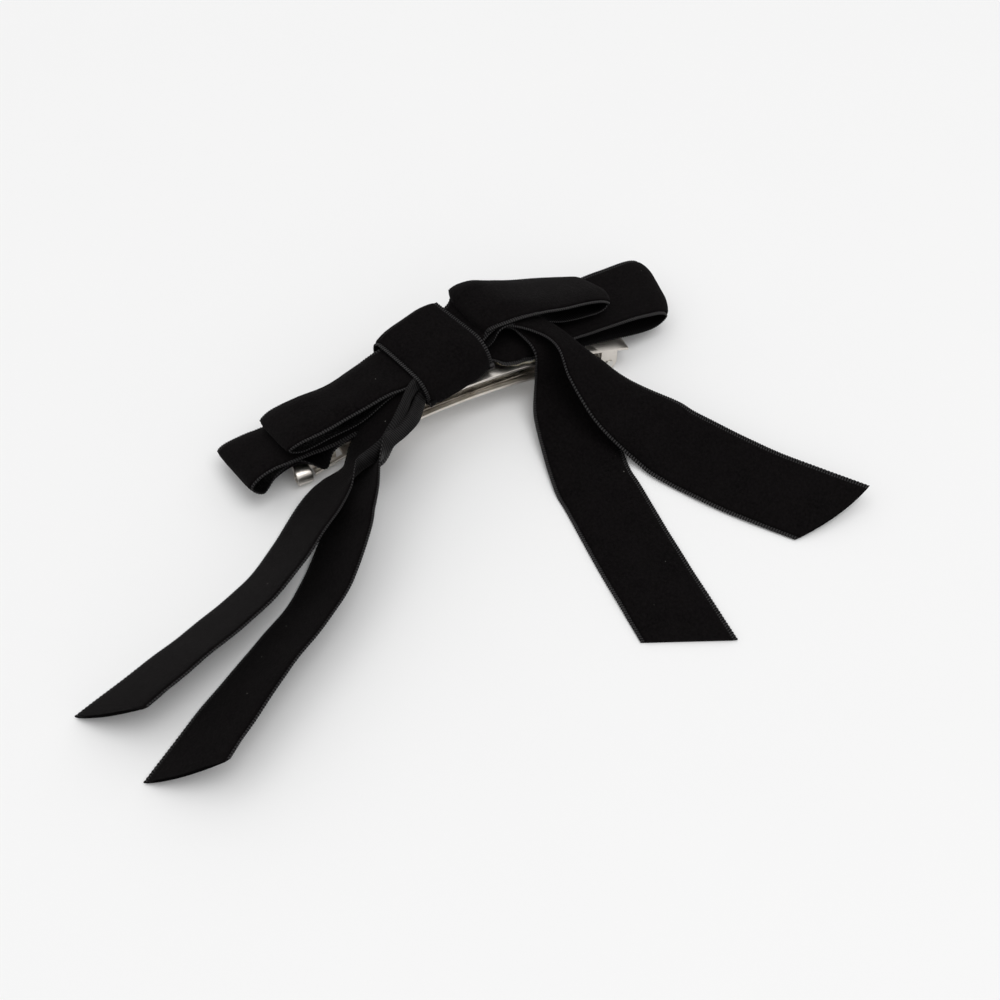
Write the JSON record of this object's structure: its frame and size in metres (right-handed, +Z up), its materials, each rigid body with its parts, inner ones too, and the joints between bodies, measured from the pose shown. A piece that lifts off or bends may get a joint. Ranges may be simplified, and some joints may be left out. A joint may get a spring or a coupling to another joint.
{
  "type": "ribbon hair bow on a french barrette",
  "caption": "Velvet ribbon bow with stacked loops, long slanted tails and a knot band, on a hinged french barrette with a tension leaf and squeeze catch.",
  "frame": {"origin": "centre of the footprint, on the surface that the bow lies on", "axes": "+X along the barrette, towards its hinge; +Y away from the tails; +Z up, away from the barrette"},
  "size_m": [0.1848, 0.109, 0.0241],
  "materials": {
    "velvet": "velvet pile with ribbed woven selvages",
    "thread": "matt spun thread",
    "steel": "bright nickel plate",
    "pin_steel": "satin nickel plate",
    "spring_steel": "tempered spring steel",
    "glue": "translucent hot-melt glue"
  },
  "bodies": {
    "bow": {"base_plate": "steel", "hinge_pin": "pin_steel", "tension_leaf": "spring_steel", "catch_saddle": "steel", "catch_rivet": "pin_steel", "glue_pad_left": "glue", "glue_pad_middle": "glue", "glue_pad_right": "glue", "lower_loop": "velvet", "upper_loop": "velvet", "inner_tails": "velvet", "outer_tails": "velvet", "knot_band": "velvet", "binding_thread": "thread", "band_stitches": "thread"},
    "gate": {"gate": "steel"},
    "front_prong": {"front_prong": "steel"},
    "rear_prong": {"rear_prong": "steel"}
  },
  "joints": [
    {"name": "gate_hinge", "type": "hinge", "parent": "bow", "child": "gate", "pos_m": [0.05683, 0.03303, 0.0024], "axis": [0, -1, 0], "range_deg": [0, 65]},
    {"name": "front_prong_flex", "type": "hinge", "parent": "bow", "child": "front_prong", "pos_m": [-0.01897, 0.03043, 0.0054], "axis": [1, 0, 0], "range_deg": [0, 6], "stiffness_Nm_per_rad": 0.2},
    {"name": "rear_prong_flex", "type": "hinge", "parent": "bow", "child": "rear_prong", "pos_m": [-0.01897, 0.03563, 0.0054], "axis": [-1, 0, 0], "range_deg": [0, 6], "stiffness_Nm_per_rad": 0.2}
  ]
}
